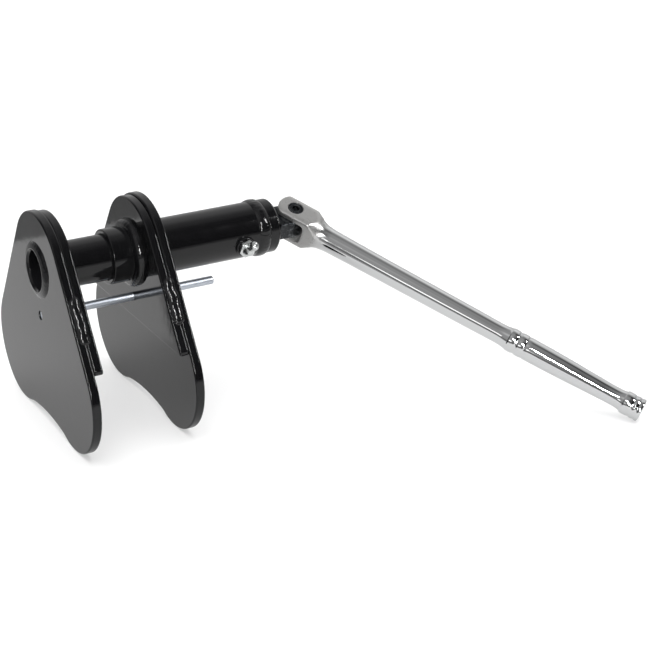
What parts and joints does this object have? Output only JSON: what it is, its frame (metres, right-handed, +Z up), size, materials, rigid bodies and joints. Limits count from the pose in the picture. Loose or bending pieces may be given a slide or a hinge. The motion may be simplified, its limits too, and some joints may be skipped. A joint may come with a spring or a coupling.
{
  "type": "coil spring compressor",
  "caption": "Screw-driven clamp with two forked plate jaws on telescoping tubes, a guide rod and a hinged square-drive handle, for squeezing a coil spring.",
  "frame": {"origin": "centre of the bounding box at its base, where the jaws' feet stand", "axes": "+X along the lead screw from the front jaw towards the handle, +Z up"},
  "size_m": [0.3644, 0.2914, 0.1521],
  "materials": {
    "jaw_enamel": "glossy black enamel",
    "tube_enamel": "glossy black enamel",
    "weld_enamel": "glossy black enamel over rippled weld beads",
    "zinc_rod": "bright zinc, drawn bar",
    "greased_steel": "machined steel with a film of grease",
    "bearing_steel": "ground and polished",
    "zinc_fitting": "bright zinc plate",
    "black_oxide": "black oxide, slightly worn",
    "handle_chrome": "polished chrome plate, satin at the yoke",
    "spring_steel": "drawn spring steel"
  },
  "bodies": {
    "rear_jaw": {"rear_jaw_plate": "jaw_enamel", "rear_jaw_doubler": "jaw_enamel", "rear_edge_welds": "weld_enamel", "outer_tube": "tube_enamel", "rear_tube_welds": "weld_enamel", "end_cap": "tube_enamel", "end_cap_weld": "weld_enamel", "thrust_seat": "greased_steel", "thrust_race_fixed": "bearing_steel", "grease_boss": "tube_enamel", "grease_fitting": "zinc_fitting"},
    "front_jaw": {"front_jaw_plate": "jaw_enamel", "front_jaw_doubler": "jaw_enamel", "front_edge_welds": "weld_enamel", "inner_tube": "tube_enamel", "front_tube_welds": "weld_enamel", "drive_nut": "greased_steel", "drive_nut_pins": "greased_steel", "guide_rod": "zinc_rod", "guide_rod_weld": "weld_enamel"},
    "screw": {"lead_screw": "greased_steel", "screw_collar": "greased_steel", "screw_collar_pin": "greased_steel", "thrust_race_turning": "bearing_steel"},
    "ball_ring": {"thrust_balls": "bearing_steel", "ball_cage": "bearing_steel"},
    "tang": {"drive_tang": "black_oxide", "detent_ball": "bearing_steel", "detent_spring": "spring_steel"},
    "handle": {"handle_bar": "handle_chrome", "pivot_screw": "black_oxide", "flex_plunger": "spring_steel", "flex_spring": "spring_steel"}
  },
  "joints": [
    {"name": "screw_spin", "type": "hinge", "parent": "rear_jaw", "child": "screw", "pos_m": [-0.18005, 0.0591, 0.1124], "axis": [1, 0, 0], "range_deg": [-4320, 3960]},
    {"name": "ball_ring_spin", "type": "hinge", "parent": "rear_jaw", "child": "ball_ring", "pos_m": [-0.18005, 0.0591, 0.1124], "axis": [1, 0, 0], "range_deg": [-2161, 1981]},
    {"name": "front_jaw_slide", "type": "slide", "parent": "rear_jaw", "child": "front_jaw", "axis": [1, 0, 0], "range_m": [-0.02795, 0.03049]},
    {"name": "handle_pull_off", "type": "slide", "parent": "screw", "child": "tang", "axis": [1, 0, 0], "range_m": [0, 0.018]},
    {"name": "handle_flex", "type": "hinge", "parent": "tang", "child": "handle", "pos_m": [0.01165, 0.0591, 0.1124], "axis": [0, -0.4656, 0.885], "range_deg": [-36.1, 143.9]}
  ],
  "couplings": [
    {"joint": "front_jaw_slide", "follows": "screw_spin", "m_per_rad": -0.00040425},
    {"joint": "ball_ring_spin", "follows": "screw_spin", "ratio": 0.5}
  ]
}
